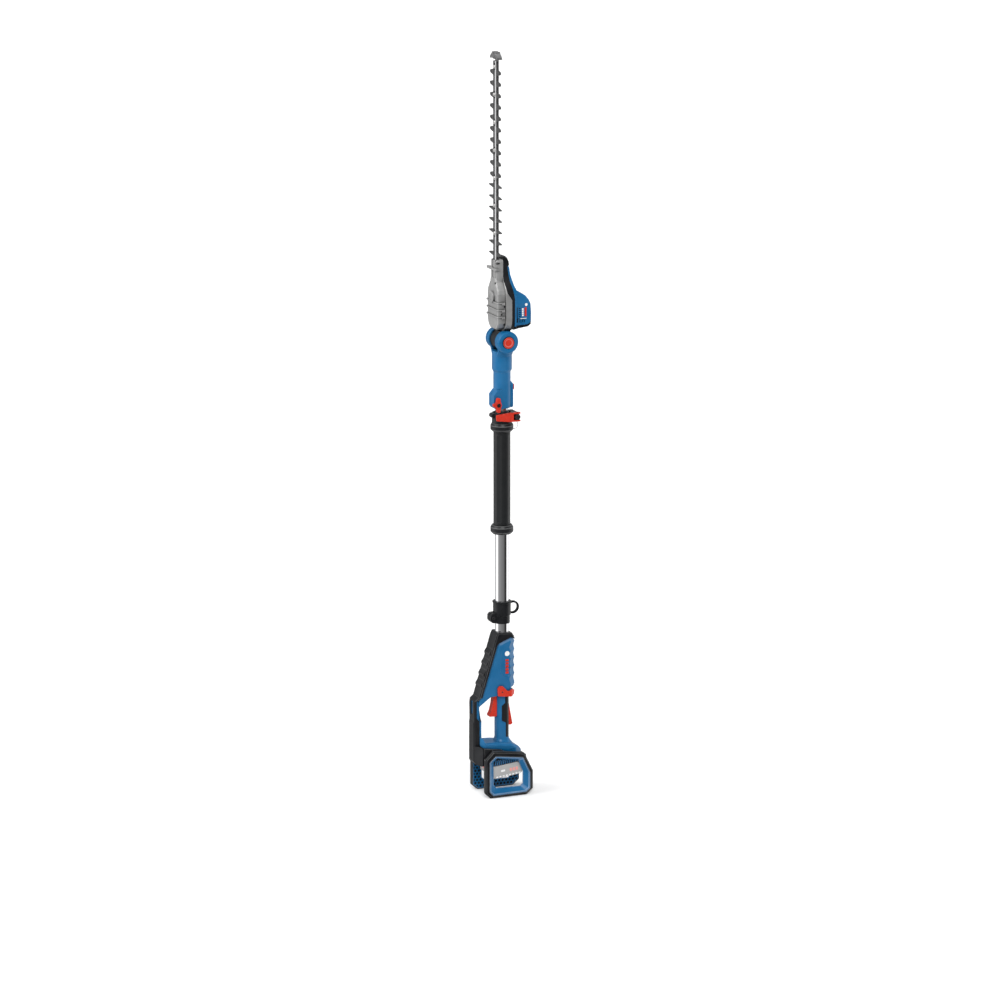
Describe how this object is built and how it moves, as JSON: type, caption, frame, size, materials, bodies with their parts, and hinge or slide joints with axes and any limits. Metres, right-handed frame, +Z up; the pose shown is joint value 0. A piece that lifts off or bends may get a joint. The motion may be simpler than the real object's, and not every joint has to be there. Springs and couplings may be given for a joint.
{
  "type": "pole hedge trimmer",
  "caption": "Battery pole hedge trimmer with a telescopic pole, a folding cutter head with twin toothed blades, a D handle and a slide-on pack between two guard rings.",
  "frame": {"origin": "on the pole's axis, at the floor that the two guard rings stand on", "axes": "+Z up along the pole, +X to the palm side of the handle and the motor side of the head, +Y to the side away from the elbow button and the clamp lever"},
  "size_m": [0.15, 0.106, 1.889],
  "materials": {
    "polished_tube": "polished",
    "inner_pole": "satin",
    "black_rubber": "matt, soft",
    "black_plastic": "fine grain",
    "blue_plastic": "fine grain",
    "red_plastic": "satin",
    "pale_plastic": "fine grain",
    "pink_plastic": "satin",
    "cast_aluminium": "cast, bead blasted",
    "blade_steel": "ground",
    "bar_steel": "ground",
    "bolt_steel": "zinc plated",
    "black_screws": "black zinc",
    "contact_brass": "bright",
    "motor_steel": "lacquered",
    "gear_steel": "cut",
    "board_green": "lacquered"
  },
  "bodies": {
    "handle": {"handle_shell_left": "blue_plastic", "handle_shell_right": "blue_plastic", "spine_cover": "black_plastic", "rear_column": "black_plastic", "palm_insert": "black_rubber", "base_bridge": "black_plastic", "guard_frame_left": "black_plastic", "guard_frame_right": "black_plastic", "guard_liner_left": "blue_plastic", "guard_liner_right": "blue_plastic", "battery_rail": "blue_plastic", "battery_terminals": "contact_brass", "trigger_switch": "black_plastic", "trigger_spring": "bolt_steel", "control_board": "board_green", "outer_tube": "polished_tube", "grip_sleeve": "black_rubber", "upper_collar": "black_plastic", "lower_collar": "black_plastic", "strap_collar": "black_plastic", "strap_collar_screw": "bolt_steel", "clamp_body": "black_plastic", "clamp_bush": "black_plastic", "tension_bolt": "black_screws", "wire_clip": "bolt_steel", "coiled_lead": "black_rubber", "housing_screws": "black_screws", "lever_pins": "black_screws"},
    "trigger": {"trigger": "red_plastic"},
    "lock_lever": {"lock_lever": "red_plastic"},
    "safety_yoke": {"safety_yoke": "red_plastic"},
    "battery": {"battery_case": "pale_plastic"},
    "battery_button": {"battery_button": "pink_plastic"},
    "inner_pole": {"inner_tube": "inner_pole", "inner_tube_foot": "black_plastic", "pole_plug": "black_plastic"},
    "clamp_lever": {"clamp_lever": "red_plastic", "clamp_pin": "black_screws"},
    "coupler": {"neck_shell_left": "blue_plastic", "neck_shell_right": "blue_plastic", "neck_screws": "black_screws", "elbow_pin": "gear_steel"},
    "wing_knob": {"wing_knob": "red_plastic", "wing_stud": "bolt_steel"},
    "coupling_button": {"coupling_button": "red_plastic"},
    "elbow_button": {"elbow_button": "red_plastic"},
    "head": {"elbow_hub": "black_plastic", "gear_case": "cast_aluminium", "middle_frame": "black_plastic", "motor_cover": "blue_plastic", "case_screws": "bolt_steel", "motor_stator": "motor_steel", "guide_bar": "bar_steel", "blade_bolts": "bolt_steel", "tip_guard": "black_plastic"},
    "rotor": {"motor_rotor": "gear_steel"},
    "gear": {"drive_gear": "gear_steel"},
    "upper_blade": {"upper_blade": "blade_steel"},
    "lower_blade": {"lower_blade": "blade_steel"}
  },
  "joints": [
    {"name": "trigger_pull", "type": "hinge", "parent": "handle", "child": "trigger", "pos_m": [-0.013, 0, 0.248], "axis": [0, -1, 0], "range_deg": [0, 12], "stiffness_Nm_per_rad": 0.5, "springref_deg": -14.32, "deforming": ["trigger_spring"]},
    {"name": "lock_lever_press", "type": "hinge", "parent": "handle", "child": "lock_lever", "pos_m": [0.0138, 0, 0.229], "axis": [0, 1, 0], "range_deg": [0, 8], "stiffness_Nm_per_rad": 0.3, "springref_deg": -11.46},
    {"name": "safety_yoke_tilt", "type": "hinge", "parent": "handle", "child": "safety_yoke", "pos_m": [-0.0099, 0, 0.2678], "axis": [0, 1, 0], "range_deg": [0, 10], "stiffness_Nm_per_rad": 0.6, "springref_deg": -11.46},
    {"name": "battery_slide", "type": "slide", "parent": "handle", "child": "battery", "axis": [-0.9945, 0, -0.1045], "range_m": [0, 0.09]},
    {"name": "battery_button_press", "type": "slide", "parent": "battery", "child": "battery_button", "axis": [0.9945, 0, 0.1045], "range_m": [0, 0.003], "stiffness_N_per_m": 1500, "springref_m": -0.002},
    {"name": "pole_extend", "type": "slide", "parent": "handle", "child": "inner_pole", "axis": [0, 0, 1], "range_m": [0, 0.42], "deforming": ["coiled_lead"]},
    {"name": "clamp_lever_swing", "type": "hinge", "parent": "handle", "child": "clamp_lever", "pos_m": [0.0286, -0.0295, 0.976], "axis": [0, 0, 1], "range_deg": [0, 120]},
    {"name": "head_release", "type": "slide", "parent": "inner_pole", "child": "coupler", "axis": [0, 0, 1], "range_m": [0, 0.06]},
    {"name": "wing_knob_turn", "type": "hinge", "parent": "coupler", "child": "wing_knob", "pos_m": [-0.0216, -0.028, 1.009], "axis": [0, 1, 0], "continuous": true},
    {"name": "coupling_button_press", "type": "slide", "parent": "coupler", "child": "coupling_button", "axis": [-1, 0, 0], "range_m": [0, 0.003], "stiffness_N_per_m": 1500, "springref_m": -0.002},
    {"name": "elbow_button_press", "type": "slide", "parent": "coupler", "child": "elbow_button", "axis": [0, 1, 0], "range_m": [0, 0.004], "stiffness_N_per_m": 1500, "springref_m": -0.002},
    {"name": "head_fold", "type": "hinge", "parent": "coupler", "child": "head", "pos_m": [0, 0, 1.168], "axis": [0, 1, 0], "range_deg": [-90, 45]},
    {"name": "drive_gear_spin", "type": "hinge", "parent": "head", "child": "gear", "pos_m": [0.002, 0, 1.2655], "axis": [1, 0, 0], "continuous": true},
    {"name": "rotor_spin", "type": "hinge", "parent": "head", "child": "rotor", "pos_m": [0.043, 0, 1.236], "axis": [1, 0, 0], "continuous": true},
    {"name": "upper_blade_stroke", "type": "slide", "parent": "head", "child": "upper_blade", "axis": [0, 0, 1], "range_m": [-0.006, 0.006]},
    {"name": "lower_blade_stroke", "type": "slide", "parent": "head", "child": "lower_blade", "axis": [0, 0, 1], "range_m": [-0.006, 0.006]}
  ],
  "couplings": [
    {"joint": "rotor_spin", "follows": "drive_gear_spin", "ratio": -5.5556},
    {"joint": "lower_blade_stroke", "follows": "upper_blade_stroke", "ratio": -1}
  ]
}
